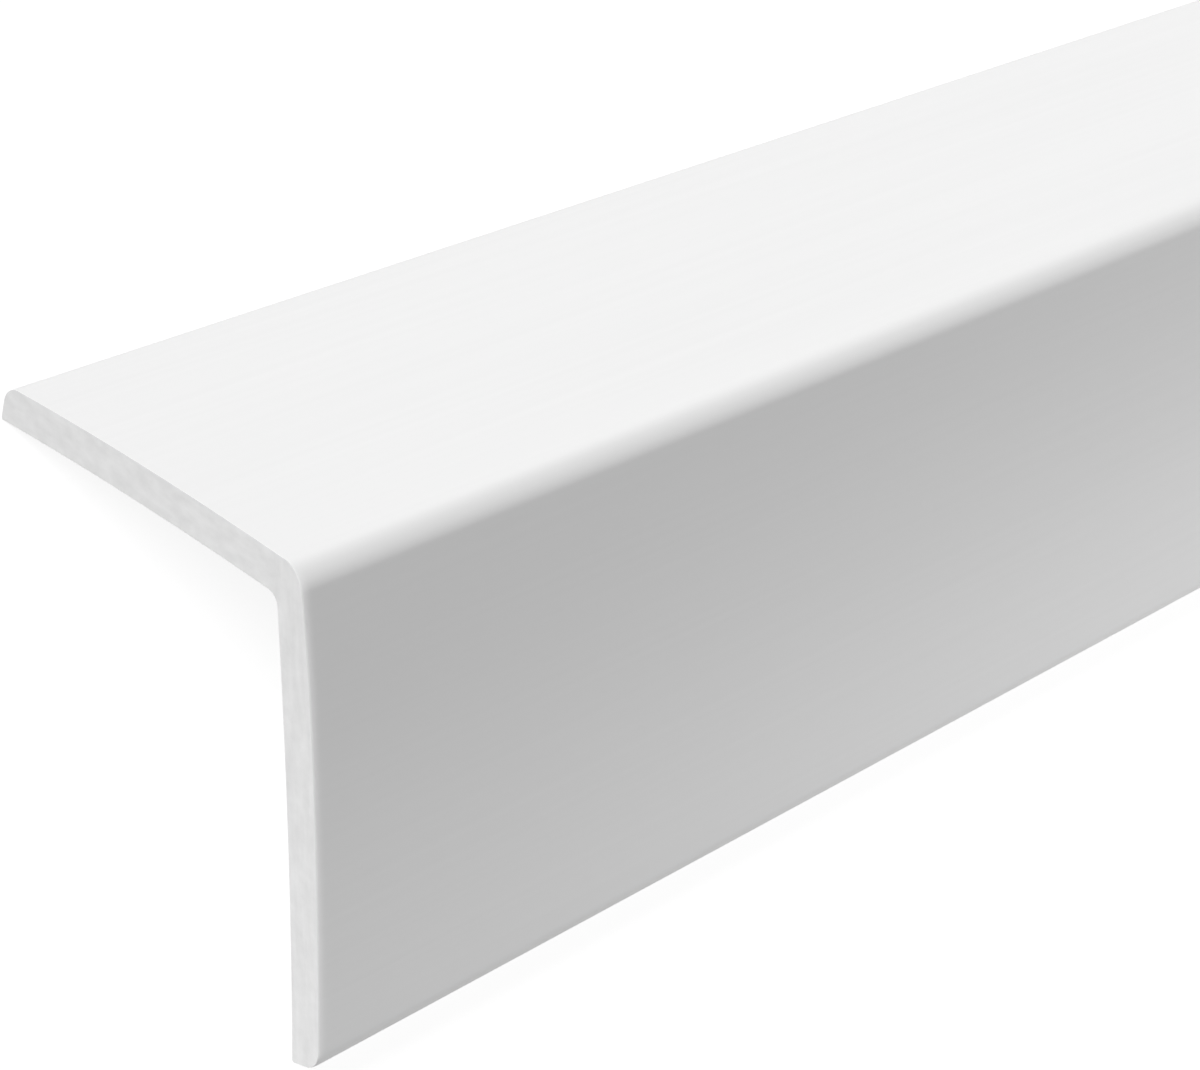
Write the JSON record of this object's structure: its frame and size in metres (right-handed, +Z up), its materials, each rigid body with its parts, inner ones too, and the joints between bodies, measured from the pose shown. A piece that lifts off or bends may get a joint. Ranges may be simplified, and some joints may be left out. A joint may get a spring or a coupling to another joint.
{
  "type": "corner guard moulding",
  "caption": "Straight length of white L-shaped plastic corner guard with a rounded nose and sloped, rounded tips, that covers and protects an outside wall corner.",
  "frame": {"origin": "middle of the footprint, on the floor that the two back edges rest on", "axes": "+X along the length, +Z up towards the nose, +Y towards the short leg's tip"},
  "size_m": [1.2192, 0.042, 0.0228],
  "materials": {
    "white_pvc": "smooth satin white rigid PVC as extruded, sawn at both ends"
  },
  "bodies": {
    "root": {"corner_guard": "white_pvc"}
  },
  "joints": []
}
